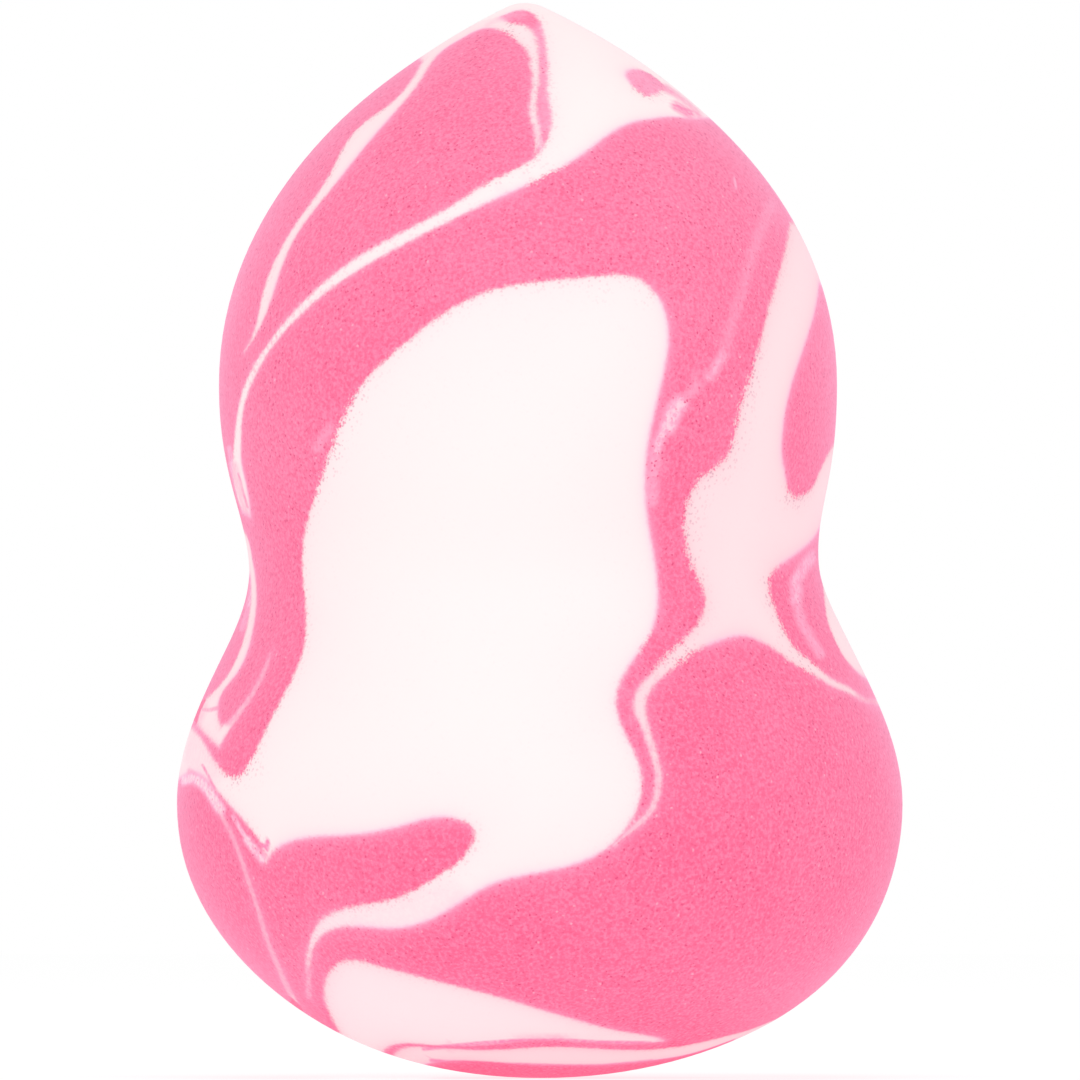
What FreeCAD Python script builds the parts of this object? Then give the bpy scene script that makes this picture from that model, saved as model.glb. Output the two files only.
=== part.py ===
import FreeCAD, Part
import math
import os

# A gourd shaped makeup sponge of marbled foam, tip up, standing on a small flat under its lower bulb.
# The origin is the middle of that flat. X runs to the right seen from the front, Y to the back, Z up.
# All sizes are in millimetres.

# The sponge before its flat is cut
FREE_LENGTH = 60.0
LOWER_DIAMETER = 40.5
WAIST_DIAMETER = 31.8
UPPER_DIAMETER = 34.5
LOWER_HEIGHT = 15.3
WAIST_HEIGHT = 28.65
UPPER_HEIGHT = 38.7
TIP_RADIUS = 2.4
TIP_HALF_ANGLE = 64.6
STANDING_CUT = 0.5

# How far the profile runs on along its tangent, up or down from each full and narrow place
BOTTOM_RUN = 11.6
LOWER_RUN_DOWN = 8.8
LOWER_RUN_UP = 5.4
WAIST_RUN_DOWN = 3.4
WAIST_RUN_UP = 3.1
UPPER_RUN_DOWN = 5.3
UPPER_RUN_UP = 11.4
TIP_RUN = 6.6

# How deep the foam of each kind of stream goes in from the skin
PATCH_DEPTH = 4.0
STREAM_DEPTH = 2.4
VEIN_DEPTH = 1.8
FLECK_DEPTH = 1.2

# The pink foam over the standing flat reaches this far from the axis, inside every stream
BASE_COLUMN_DIAMETER = 11.4

# The photograph's rows of the tip, the full upper bulb, the waist, the full lower bulb and the bottom,
# and the half widths of the bulbs and the waist there
TIP_ROW_PX = 2.5
UPPER_ROW_PX = 384.1
WAIST_ROW_PX = 564.2
LOWER_ROW_PX = 803.4
BOTTOM_ROW_PX = 1077.5
UPPER_HALF_WIDTH_PX = 309.0
WAIST_HALF_WIDTH_PX = 284.9
LOWER_HALF_WIDTH_PX = 363.0

# The sponge leans a little in the photograph: its axis is at this column in each of these rows
AXIS_PX = (
    (20.0, 524.5), (40.0, 526.5), (60.0, 527.0), (100.0, 525.5), (180.0, 527.0), (260.0, 527.5),
    (420.0, 527.5), (460.0, 528.5), (500.0, 529.5), (540.0, 531.5), (590.0, 535.5), (620.0, 538.5),
    (750.0, 539.0), (860.0, 539.5), (920.0, 542.0), (960.0, 544.0), (1000.0, 545.5), (1040.0, 544.5),
    (1060.0, 540.5),
)

# Each outline is a ring of stretches, in pixels of the photograph. A stretch is a smooth line that
# starts where the one before it ends, and the last one closes the ring. Outlines of the back are drawn
# as if seen through the sponge from the front, so both sides meet at the same rows of its edge.
FRONT_PATCH_PX = (
    ((140, 727), (191, 727)),
    ((191, 727), (204, 742), (224, 770), (236, 776), (247, 766), (268, 724), (290, 683), (304, 645),
     (306, 612), (302.5, 565), (307.5, 522), (321, 480), (341.5, 423), (372, 373.5), (406, 343),
     (439.5, 317), (488.5, 292), (540, 282.7), (600, 277), (632, 278), (656, 296), (666, 322), (660, 385),
     (646.5, 448), (644.5, 500), (656, 580), (650, 630), (626, 668), (615, 698), (626, 736), (640, 772),
     (635.5, 807), (606.5, 845), (560, 865.3), (490, 882), (440, 912), (395, 925.5), (345, 924.3),
     (326, 930.5), (317.5, 938.5), (312.5, 948.5), (310.6, 960), (310, 976), (309.8, 996)),
    ((309.8, 996), (307.4, 996)),
    ((307.4, 996), (307.2, 975), (307.6, 957), (309.4, 943.5), (312.7, 932), (318.5, 921.5),
     (330, 911.8), (345.5, 906), (400, 894), (440, 872), (468.5, 847.3), (474, 828), (455, 816),
     (400, 824), (345, 833), (300, 837), (281, 844), (266, 862)),
    ((266, 862), (260, 839.5), (238, 812), (216, 787.5), (196, 772), (179, 778)),
    ((179, 778), (140, 778)),
    ((140, 778), (140, 727)),
)
FRONT_PATCH_BACK_PX = (
    ((140, 727), (191, 727)),
    ((191, 727), (230, 730), (280, 742), (330, 762), (372, 796), (398, 842)),
    ((398, 842), (352, 815), (300, 798), (240, 790), (179, 778)),
    ((179, 778), (140, 778)),
    ((140, 778), (140, 727)),
)
CROWN_PATCH_PX = (
    ((780, 118), (700, 118)),
    ((700, 118), (684, 118.2), (668, 117.3), (652, 119.5), (639, 121.5), (626, 125.3), (613, 132.3),
     (600, 141.5), (588, 151), (546.5, 176.5), (486.5, 204.3), (431.7, 231), (375.5, 261), (327.3, 292.3),
     (293, 323), (269.3, 351.6), (252, 383.5), (242, 420), (241.3, 440), (241.6, 463), (245, 479),
     (248.8, 499), (250.5, 516)),
    ((250.5, 516), (244, 512), (239, 503), (235.5, 490), (232.6, 475), (232.8, 460), (234.6, 437),
     (244, 388), (267, 346), (308, 298), (352, 262), (401, 234), (457, 203.5), (495, 180), (510, 172.8),
     (522, 166.5), (532, 161), (538, 154), (543.8, 146.2), (548.4, 135.6), (550.8, 123.6), (549.6, 108),
     (546.8, 93.6), (547.6, 72), (546, 50.4), (542.4, 31.5), (538, 20), (530.4, 12.5), (520.8, 10),
     (508.8, 12.8), (498, 17)),
    ((498, 17), (460, -50)),
    ((460, -50), (780, -50)),
    ((780, -50), (780, 118)),
)
CROWN_PATCH_BACK_PX = (
    ((780, 118), (700, 118)),
    ((700, 118), (660, 119), (622, 128), (585, 152), (545, 173), (496, 188)),
    ((496, 188), (528, 152), (540, 120), (534, 84), (516, 44), (498, 17)),
    ((498, 17), (460, -50)),
    ((460, -50), (780, -50)),
    ((780, -50), (780, 118)),
)
CROWN_FLECK_PX = (
    ((625.3, 77), (628, 71), (636, 69.3), (645.5, 72), (656, 78.5), (662.5, 85)),
    ((662.5, 85), (660.5, 91), (654, 94.8), (645, 95.6), (637, 92.3), (630.5, 84.8), (625.3, 77)),
)
SHOULDER_STREAM_PX = (
    ((400, 30), (480, -20)),
    ((480, -20), (500, 17)),
    ((500, 17), (509, 22.5), (520, 24.5), (530, 29), (536, 38), (538.3, 52), (539, 70), (538.4, 84),
     (536.3, 97), (535.5, 113), (537.6, 125), (539.8, 135), (538.4, 146), (534, 154.5)),
    ((534, 154.5), (535, 142), (534, 131), (531, 123), (528.8, 113), (529.3, 102), (531.4, 90),
     (531.6, 75), (529.6, 63), (527.4, 52.5), (520.8, 45), (511.5, 36.5), (501, 30.8), (487, 28),
     (461, 38.7), (437.7, 54.8), (421.8, 78.2), (397.5, 109.5), (365, 147), (329.5, 192), (298, 233.3),
     (281.4, 269), (268.5, 308), (244, 352)),
    ((244, 352), (257, 322), (263, 294), (278, 255), (296, 224), (329, 176), (344.3, 146.3),
     (362.8, 124), (389.5, 104.6), (409, 83.5), (422, 62)),
    ((422, 62), (400, 30)),
)
SHOULDER_STREAM_BACK_PX = (
    ((400, 30), (480, -20)),
    ((480, -20), (500, 17)),
    ((500, 17), (492, 38), (474, 56), (448, 66), (422, 62)),
    ((422, 62), (400, 30)),
)
RIGHT_STREAM_PX = (
    ((900, 222), (789, 222)),
    ((789, 222), (782, 258), (767.5, 307.4), (750, 373.2), (737.3, 412), (723, 458.4), (695.4, 482.3),
     (683.5, 520), (689, 560.3), (703.3, 605), (683, 638), (665.5, 655), (652, 670), (639, 684.5),
     (632.6, 705), (640, 725), (648.2, 748), (653.6, 768), (653.8, 788), (647.5, 807), (631.5, 824),
     (611, 845)),
    ((611, 845), (635, 825.6), (652.5, 807.5), (659, 789), (659.2, 768), (654.2, 747), (647.5, 724),
     (644.6, 703), (651.5, 686), (672, 667), (700, 647), (720, 638.7), (742, 634.8), (772, 648),
     (800, 667.5), (815, 675.6), (828, 683.9), (840, 689), (850, 693.6), (861, 699.7), (872, 702.3)),
    ((872, 702.3), (910, 714)),
    ((910, 714), (912, 706)),
    ((912, 706), (872, 699.3)),
    ((872, 699.3), (861, 695.5), (850, 687.6), (840, 682.4), (828, 676.4), (815, 664.5), (799.5, 652.5),
     (777, 616.5), (770, 575), (790.4, 556.3), (818, 528)),
    ((818, 528), (900, 528)),
    ((900, 528), (900, 445)),
    ((900, 445), (832, 445)),
    ((832, 445), (826.4, 455), (821.3, 465), (817, 475), (812, 485.5), (803.5, 493.3), (794.5, 496.5),
     (787, 489), (783.8, 475), (780.6, 458), (780.4, 438), (790, 384), (807.4, 332), (818, 283)),
    ((818, 283), (900, 283)),
    ((900, 283), (900, 222)),
)
RIGHT_STREAM_BACK_PX = (
    ((900, 222), (789, 222)),
    ((789, 222), (758, 244), (735, 292), (726, 350), (730, 410), (752, 474), (784, 512), (818, 528)),
    ((818, 528), (900, 528)),
    ((900, 528), (900, 445)),
    ((900, 445), (832, 445)),
    ((832, 445), (798, 434), (774, 400), (767, 356), (782, 312), (818, 283)),
    ((818, 283), (900, 283)),
    ((900, 283), (900, 222)),
)
BRANCH_BACK_PX = (
    ((912, 706), (872, 699.3)),
    ((872, 699.3), (846, 702), (812, 722)),
    ((812, 722), (848, 710), (872, 702.3)),
    ((872, 702.3), (910, 714)),
    ((910, 714), (912, 706)),
)
BACK_PATCH_FRONT_PX = (
    ((900, 584), (822, 584)),
    ((822, 584), (823.7, 600), (827, 620), (834.3, 640), (842.3, 655), (851, 666), (864, 677)),
    ((864, 677), (900, 677)),
    ((900, 677), (900, 584)),
)
BACK_PATCH_PX = (
    ((900, 584), (822, 584)),
    ((822, 584), (780, 555), (728, 520), (672, 478), (632, 430), (610, 370), (590, 305), (556, 266),
     (508, 258), (466, 284), (444, 336), (430, 400), (408, 470), (398, 530), (410, 600), (416, 660),
     (400, 716), (370, 768), (354, 820), (372, 856), (418, 866), (480, 845), (540, 826), (582, 834),
     (612, 868), (640, 912), (672, 940)),
    ((672, 940), (646, 892), (628, 842), (620, 792), (636, 748), (682, 712), (746, 690), (810, 683),
     (864, 677)),
    ((864, 677), (900, 677)),
    ((900, 677), (900, 584)),
)
LEFT_HOOK_PX = (
    ((180, 532), (245, 532)),
    ((245, 532), (249.5, 545), (252.3, 560), (254.8, 575), (256.2, 590), (256, 609), (251.3, 637.5),
     (237.8, 671), (218.8, 700), (218.3, 715), (221.5, 726)),
    ((221.5, 726), (230.8, 717.5), (241.2, 705.5), (251, 692), (258.5, 679), (265, 665.5), (271, 652)),
    ((271, 652), (266.8, 668), (260.7, 681.5), (253, 695.3), (243.5, 709.5), (231.5, 726), (220, 746)),
    ((220, 746), (206, 734), (194, 720)),
    ((194, 720), (150, 720)),
    ((150, 720), (150, 701)),
    ((150, 701), (201, 701)),
    ((201, 701), (223, 680.7), (242.5, 642.3), (250, 608), (250, 575)),
    ((250, 575), (180, 575)),
    ((180, 575), (180, 532)),
)
LEFT_HOOK_BACK_PX = (
    ((180, 532), (245, 532)),
    ((245, 532), (262, 546), (284, 570), (306, 604), (330, 640)),
    ((330, 640), (298, 610), (272, 586), (250, 575)),
    ((250, 575), (180, 575)),
    ((180, 575), (180, 532)),
)
LEFT_THREAD_PX = (
    ((217, 806), (227, 820), (240, 848), (248.3, 873), (260, 907), (270, 940), (280.2, 965), (290.5, 988),
     (303, 1009)),
    ((303, 1009), (292, 1040)),
    ((292, 1040), (270, 1022)),
    ((270, 1022), (292, 999)),
    ((292, 999), (285.5, 987), (276.3, 965), (266.4, 940), (256.6, 907), (245.2, 873), (236.8, 848),
     (225, 822), (217, 806)),
)
BASE_WEDGE_PX = (
    ((340, 1031), (327, 1006), (327, 974), (343.5, 958.5), (372, 961), (420, 974), (500, 994.5),
     (560, 1012.5), (608, 1026), (632, 1030.8), (654, 1034.7), (664, 1039)),
    ((664, 1039), (632, 1041.2), (590, 1039.9), (550, 1037.6), (520, 1038.3), (500, 1041), (475, 1043),
     (452, 1043.6), (425, 1042.5), (404, 1041.5), (392, 1044), (383, 1050)),
    ((383, 1050), (362, 1090)),
    ((362, 1090), (310, 1060)),
    ((310, 1060), (340, 1031)),
)
BASE_WEDGE_BACK_PX = (
    ((340, 1031), (362, 1020), (398, 1014), (446, 1022)),
    ((446, 1022), (412, 1032), (383, 1050)),
    ((383, 1050), (362, 1090)),
    ((362, 1090), (310, 1060)),
    ((310, 1060), (340, 1031)),
)
BASE_RIM_PX = (
    ((393, 1054), (401, 1047.5), (414, 1045), (440, 1046), (470, 1047.8), (500, 1047.4), (545, 1044.6),
     (584, 1045.6), (630, 1048), (660, 1047), (692, 1042.7), (716, 1037.2), (742, 1030.8), (772, 1019.5)),
    ((772, 1019.5), (810, 1050)),
    ((810, 1050), (730, 1090)),
    ((730, 1090), (736, 1037.5)),
    ((736, 1037.5), (704, 1048.5), (680, 1054.5), (656, 1058), (632, 1060.6), (600, 1063), (560, 1063.3),
     (520, 1062.4), (485, 1059.6), (458, 1058.6), (440, 1059.6), (424, 1063)),
    ((424, 1063), (408, 1090)),
    ((408, 1090), (380, 1080)),
    ((380, 1080), (393, 1054)),
)
BASE_RIM_BACK_PX = (
    ((393, 1054), (460, 1046), (540, 1040), (620, 1034), (700, 1026), (772, 1019.5)),
    ((772, 1019.5), (810, 1050)),
    ((810, 1050), (730, 1090)),
    ((730, 1090), (736, 1037.5)),
    ((736, 1037.5), (690, 1044), (620, 1050), (540, 1055), (475, 1058), (424, 1063)),
    ((424, 1063), (408, 1090)),
    ((408, 1090), (380, 1080)),
    ((380, 1080), (393, 1054)),
)
BACK_SHOULDER_VEIN_PX = (
    ((702, 268), (664, 232), (612, 216), (552, 212), (488, 214), (432, 232), (382, 262), (340, 300),
     (308, 352), (288, 412)),
    ((288, 412), (318, 356), (352, 312), (392, 278), (440, 250), (494, 234), (552, 232), (606, 236),
     (652, 248), (702, 268)),
)
BACK_LEFT_VEIN_PX = (
    ((470, 96), (440, 132), (404, 168), (366, 204), (330, 250), (306, 300)),
    ((306, 300), (322, 250), (352, 206), (390, 164), (428, 126), (470, 96)),
)
BACK_WAIST_THREAD_PX = (
    ((380, 448), (362, 510), (354, 570), (361, 630), (370, 690), (360, 744)),
    ((360, 744), (376, 692), (368, 628), (361, 570), (368, 512), (380, 448)),
)
BACK_SWIRL_PX = (
    ((876, 760), (842, 786), (800, 800), (756, 794), (728, 810), (722, 844), (742, 872), (776, 884)),
    ((776, 884), (738, 884), (708, 862), (704, 822), (716, 788), (748, 774), (800, 782), (840, 774),
     (876, 760)),
)
BACK_LOWER_WEDGE_PX = (
    ((250, 902), (300, 900), (352, 914), (420, 936), (492, 956), (566, 968), (644, 990)),
    ((644, 990), (560, 994), (476, 996), (396, 984), (330, 956), (250, 902)),
)

# How far the cutting shapes reach past the sponge, and how often a smooth outline starts a new edge
REACH = LOWER_DIAMETER
POINTS_PER_EDGE = 3


def bezier(points):
    """A curve steered by four points of the XZ plane."""
    curve = Part.BezierCurve()
    curve.setPoles([FreeCAD.Vector(x, 0, z) for x, z in points])
    return curve.toShape()


def gourd(inset):
    """The sponge's round form before its flat is cut, all over smaller by an inset."""
    lower = LOWER_DIAMETER / 2 - inset
    waist = WAIST_DIAMETER / 2 - inset
    upper = UPPER_DIAMETER / 2 - inset
    slope = math.radians(TIP_HALF_ANGLE)
    tip_centre = FREE_LENGTH - TIP_RADIUS - inset / math.sin(slope)
    tip_x = TIP_RADIUS * math.cos(slope)
    tip_z = tip_centre + TIP_RADIUS * math.sin(slope)
    middle = (slope + math.pi / 2) / 2
    edges = [
        bezier([(0, inset), (BOTTOM_RUN, inset),
                (lower, LOWER_HEIGHT - LOWER_RUN_DOWN), (lower, LOWER_HEIGHT)]),
        bezier([(lower, LOWER_HEIGHT), (lower, LOWER_HEIGHT + LOWER_RUN_UP),
                (waist, WAIST_HEIGHT - WAIST_RUN_DOWN), (waist, WAIST_HEIGHT)]),
        bezier([(waist, WAIST_HEIGHT), (waist, WAIST_HEIGHT + WAIST_RUN_UP),
                (upper, UPPER_HEIGHT - UPPER_RUN_DOWN), (upper, UPPER_HEIGHT)]),
        bezier([(upper, UPPER_HEIGHT), (upper, UPPER_HEIGHT + UPPER_RUN_UP),
                (tip_x + TIP_RUN * math.sin(slope), tip_z - TIP_RUN * math.cos(slope)), (tip_x, tip_z)]),
        Part.Arc(
            FreeCAD.Vector(tip_x, 0, tip_z),
            FreeCAD.Vector(TIP_RADIUS * math.cos(middle), 0, tip_centre + TIP_RADIUS * math.sin(middle)),
            FreeCAD.Vector(0, 0, tip_centre + TIP_RADIUS),
        ).toShape(),
        Part.makeLine(FreeCAD.Vector(0, 0, tip_centre + TIP_RADIUS), FreeCAD.Vector(0, 0, inset)),
    ]
    half = Part.Face(Part.Wire(edges))
    solid = half.revolve(FreeCAD.Vector(0, 0, 0), FreeCAD.Vector(0, 0, 1), 360)
    solid.translate(FreeCAD.Vector(0, 0, -STANDING_CUT))
    return solid


def core(depth):
    """What a stream of this depth leaves under it: the inset form and the column over the flat."""
    column = Part.makeCylinder(BASE_COLUMN_DIAMETER / 2, LOWER_HEIGHT, FreeCAD.Vector(0, 0, -STANDING_CUT))
    return gourd(depth).fuse(column)


def standing_sponge():
    """The round form with the flat that it stands on."""
    below = Part.makeBox(
        2 * REACH, 2 * REACH, REACH, FreeCAD.Vector(-REACH, -REACH, -REACH)
    )
    return gourd(0).cut(below)


def read_off(row, stops):
    """What belongs to a row on straight lines through the stops, and level beyond the first and last."""
    for (start, first), (end, last) in zip(stops, stops[1:]):
        if row <= end:
            along = max(0, (row - start) / (end - start))
            return first + along * (last - first)
    return stops[-1][1]


def place(point):
    """A pixel as a point of the sponge's middle plane, set between its full and narrow places."""
    column, row = point
    heights = (
        (TIP_ROW_PX, FREE_LENGTH), (UPPER_ROW_PX, UPPER_HEIGHT), (WAIST_ROW_PX, WAIST_HEIGHT),
        (LOWER_ROW_PX, LOWER_HEIGHT), (BOTTOM_ROW_PX, 0),
    )
    scales = (
        (UPPER_ROW_PX, UPPER_DIAMETER / 2 / UPPER_HALF_WIDTH_PX),
        (WAIST_ROW_PX, WAIST_DIAMETER / 2 / WAIST_HALF_WIDTH_PX),
        (LOWER_ROW_PX, LOWER_DIAMETER / 2 / LOWER_HALF_WIDTH_PX),
    )
    scale = read_off(row, scales)
    beyond = min(max(row, TIP_ROW_PX), BOTTOM_ROW_PX) - row
    x = (column - read_off(row, AXIS_PX)) * scale
    z = read_off(row, heights) + beyond * scale - STANDING_CUT
    return FreeCAD.Vector(x, 0, z)


def smooth_edges(stretch):
    """One smooth curve through pixels, cut at every few of them into edges and put in its place."""
    curve = Part.BSplineCurve()
    curve.interpolate([FreeCAD.Vector(column, 0, row) for column, row in stretch])
    knots = curve.getKnots()
    edges = []
    for first in range(0, len(knots) - 1, POINTS_PER_EDGE):
        last = min(first + POINTS_PER_EDGE, len(knots) - 1)
        piece = curve.copy()
        piece.segment(knots[first], knots[last])
        for number, pole in enumerate(piece.getPoles(), 1):
            piece.setPole(number, place((pole.x, pole.z)))
        edges.append(piece.toShape())
    return edges


def prism(ring, side):
    """The space behind an outline: side -1 is the front half of the sponge, 1 the back half."""
    edges = []
    for stretch in ring:
        if len(stretch) == 2:
            edges.append(Part.makeLine(place(stretch[0]), place(stretch[1])))
        else:
            edges += smooth_edges(stretch)
    face = Part.Face(Part.Wire(edges))
    return face.extrude(FreeCAD.Vector(0, side * REACH, 0))


def pocket(front_rings, back_rings, under):
    """The space that one stream of foam takes, from what is under it out past the skin."""
    prisms = [prism(ring, -1) for ring in front_rings] + [prism(ring, 1) for ring in back_rings]
    space = prisms[0]
    for other in prisms[1:]:
        space = space.fuse(other)
    return space.cut(under)


def make_pockets():
    """Each stream's space, by its name. A later stream gives way to the ones before it."""
    under_patch = core(PATCH_DEPTH)
    under_stream = core(STREAM_DEPTH)
    under_vein = core(VEIN_DEPTH)
    return {
        "crown_fleck": pocket([CROWN_FLECK_PX], [], core(FLECK_DEPTH)),
        "crown_patch": pocket([CROWN_PATCH_PX], [CROWN_PATCH_BACK_PX], under_patch),
        "shoulder_stream": pocket([SHOULDER_STREAM_PX], [SHOULDER_STREAM_BACK_PX], under_vein),
        "front_patch": pocket([FRONT_PATCH_PX], [FRONT_PATCH_BACK_PX], under_patch),
        "right_stream": pocket([RIGHT_STREAM_PX], [RIGHT_STREAM_BACK_PX, BRANCH_BACK_PX], under_stream),
        "left_hook": pocket([LEFT_HOOK_PX], [LEFT_HOOK_BACK_PX], under_vein),
        "left_thread": pocket([LEFT_THREAD_PX], [], under_vein),
        "base_wedge": pocket([BASE_WEDGE_PX], [BASE_WEDGE_BACK_PX], under_vein),
        "base_rim": pocket([BASE_RIM_PX], [BASE_RIM_BACK_PX], under_vein),
        "back_patch": pocket([BACK_PATCH_FRONT_PX], [BACK_PATCH_PX], under_patch),
        "back_shoulder_vein": pocket([], [BACK_SHOULDER_VEIN_PX], under_vein),
        "back_left_vein": pocket([], [BACK_LEFT_VEIN_PX], under_vein),
        "back_waist_thread": pocket([], [BACK_WAIST_THREAD_PX], under_vein),
        "back_swirl": pocket([], [BACK_SWIRL_PX], under_vein),
        "back_lower_wedge": pocket([], [BACK_LOWER_WEDGE_PX], under_vein),
    }


def main():
    os.makedirs("parts", exist_ok=True)
    sponge = standing_sponge()
    rest = sponge
    total = 0
    for name, space in make_pockets().items():
        stream = rest.common(space)
        rest = rest.cut(space)
        total += stream.Volume
        stream.exportStep("parts/" + name + ".step")
        print(name, len(stream.Solids), "solid,", round(stream.Volume, 1), "mm3, valid", stream.isValid())
    rest.exportStep("parts/pink_body.step")
    print("pink_body", len(rest.Solids), "solid,", round(rest.Volume, 1), "mm3, valid", rest.isValid())
    unaccounted = sponge.Volume - rest.Volume - total
    print("whole sponge", round(sponge.Volume, 1), "mm3, unaccounted", round(unaccounted, 3))


main()
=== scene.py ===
# %% [markdown]
# This file dresses a gourd shaped makeup sponge: one soft lump of foam, pink and white, marbled because
# the two colours were poured together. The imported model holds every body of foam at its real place, so
# the frame is loaded first and everything that follows is made around it, in metres.

# %% Load the frame
import math

import bmesh
import bpy
import numpy as np
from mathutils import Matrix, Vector
from mathutils.kdtree import KDTree


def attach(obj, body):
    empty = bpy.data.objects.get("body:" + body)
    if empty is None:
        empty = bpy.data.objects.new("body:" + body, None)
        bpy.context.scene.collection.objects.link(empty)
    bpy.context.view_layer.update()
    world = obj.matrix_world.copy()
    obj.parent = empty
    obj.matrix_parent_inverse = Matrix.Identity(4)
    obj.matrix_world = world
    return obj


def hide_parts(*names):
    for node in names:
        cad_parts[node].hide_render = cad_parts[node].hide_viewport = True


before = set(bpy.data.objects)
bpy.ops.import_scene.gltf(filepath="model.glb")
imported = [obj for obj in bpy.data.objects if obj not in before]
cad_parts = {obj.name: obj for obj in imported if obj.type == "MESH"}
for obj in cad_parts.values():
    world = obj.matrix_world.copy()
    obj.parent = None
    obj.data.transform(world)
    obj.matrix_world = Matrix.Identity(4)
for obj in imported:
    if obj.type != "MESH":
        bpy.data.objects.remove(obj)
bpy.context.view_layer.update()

MM = 0.001

# %% [markdown]
# The photograph shows the sponge upright and square on. Its marbling was laid out as a flat view, so the
# camera stands far off with a very long lens, which sees almost no perspective. One pixel of the
# photograph is then nearly the same length all over the sponge, and that length sets the camera's
# distance.

# %% Camera
PHOTO_WIDTH_PX = 1080
MIDDLE_SHARE = 0.5
TIP_ROW_PX = 2.5
BOTTOM_ROW_PX = 1077.5
AXIS_COLUMN_PX = 539.5
FREE_LENGTH = 60.0 * MM
STANDING_CUT = 0.5 * MM
PIXEL = FREE_LENGTH / (BOTTOM_ROW_PX - TIP_ROW_PX)
LENS = 1600.0
SENSOR = 36.0
NEAREST_SEEN = 0.1
FARTHEST_SEEN_SHARE = 2


def height_of_row(row):
    """The height of a row of the photograph over the standing flat."""
    return (BOTTOM_ROW_PX - row) * PIXEL - STANDING_CUT


def side_of_column(column):
    """How far right of the lower bulb's axis a column of the photograph lies."""
    return (column - AXIS_COLUMN_PX) * PIXEL


camera_distance = PHOTO_WIDTH_PX * PIXEL / SENSOR * LENS
camera_data = bpy.data.cameras.new("camera")
camera_data.lens = LENS
camera_data.sensor_width = SENSOR
camera_data.clip_start = NEAREST_SEEN
camera_data.clip_end = FARTHEST_SEEN_SHARE * camera_distance
camera = bpy.data.objects.new("camera", camera_data)
middle_px = PHOTO_WIDTH_PX / 2 - MIDDLE_SHARE
camera.location = (side_of_column(middle_px), -camera_distance, height_of_row(middle_px))
camera.rotation_euler = (math.radians(90), 0, 0)
bpy.context.scene.collection.objects.link(camera)
bpy.context.scene.camera = camera
print("camera", round(camera_distance, 3), "m off, pixel", round(PIXEL / MM, 4), "mm")

# %% [markdown]
# The skin of the sponge is a turned form. On a drawing board its outline would be a curve with four
# places that matter: the bottom, the full lower bulb, the waist and the full upper bulb, and then the
# blunt tip. A Bezier curve says just that, so one is added, its points are put at those places, and the
# curve is made a chain of vertices and spun round the axis.

# %% Skin outline
LOWER_RADIUS = 20.25 * MM
WAIST_RADIUS = 15.9 * MM
UPPER_RADIUS = 17.25 * MM
LOWER_HEIGHT = 15.3 * MM
WAIST_HEIGHT = 28.65 * MM
UPPER_HEIGHT = 38.7 * MM
TIP_RADIUS = 2.4 * MM
TIP_SLOPE = math.radians(64.6)
BOTTOM_RUN = 11.6 * MM
LOWER_RUNS = (8.8 * MM, 5.4 * MM)
WAIST_RUNS = (3.4 * MM, 3.1 * MM)
UPPER_RUNS = (5.3 * MM, 11.4 * MM)
TIP_RUN = 6.6 * MM
ROWS_PER_STRETCH = 36
SPOKES = 180
TINY = 0.001 * MM


def outline_points():
    """Each point of the outline with the handle before it and the handle after it, as (radius, height)."""
    tip_turn = math.pi / 2 - TIP_SLOPE
    # Handles of this length make a Bezier curve follow a circle through a turn.
    tip_handle = 4 / 3 * math.tan(tip_turn / 4) * TIP_RADIUS
    out, up = math.sin(TIP_SLOPE), math.cos(TIP_SLOPE)
    shoulder = (TIP_RADIUS * up, FREE_LENGTH - TIP_RADIUS + TIP_RADIUS * out)
    return [
        ((0, 0), (0, 0), (BOTTOM_RUN, 0)),
        ((LOWER_RADIUS, LOWER_HEIGHT - LOWER_RUNS[0]), (LOWER_RADIUS, LOWER_HEIGHT),
         (LOWER_RADIUS, LOWER_HEIGHT + LOWER_RUNS[1])),
        ((WAIST_RADIUS, WAIST_HEIGHT - WAIST_RUNS[0]), (WAIST_RADIUS, WAIST_HEIGHT),
         (WAIST_RADIUS, WAIST_HEIGHT + WAIST_RUNS[1])),
        ((UPPER_RADIUS, UPPER_HEIGHT - UPPER_RUNS[0]), (UPPER_RADIUS, UPPER_HEIGHT),
         (UPPER_RADIUS, UPPER_HEIGHT + UPPER_RUNS[1])),
        ((shoulder[0] + TIP_RUN * out, shoulder[1] - TIP_RUN * up), shoulder,
         (shoulder[0] - tip_handle * out, shoulder[1] + tip_handle * up)),
        ((tip_handle, FREE_LENGTH), (0, FREE_LENGTH), (0, FREE_LENGTH)),
    ]


def deselect():
    """Leaves nothing selected, because operators act on all that is selected."""
    if bpy.context.object and bpy.context.object.mode != "OBJECT":
        bpy.ops.object.mode_set(mode="OBJECT")
    bpy.ops.object.select_all(action="DESELECT")


def pick(piece):
    """Selects one piece and makes it the active one."""
    deselect()
    piece.select_set(True)
    bpy.context.view_layer.objects.active = piece


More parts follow.
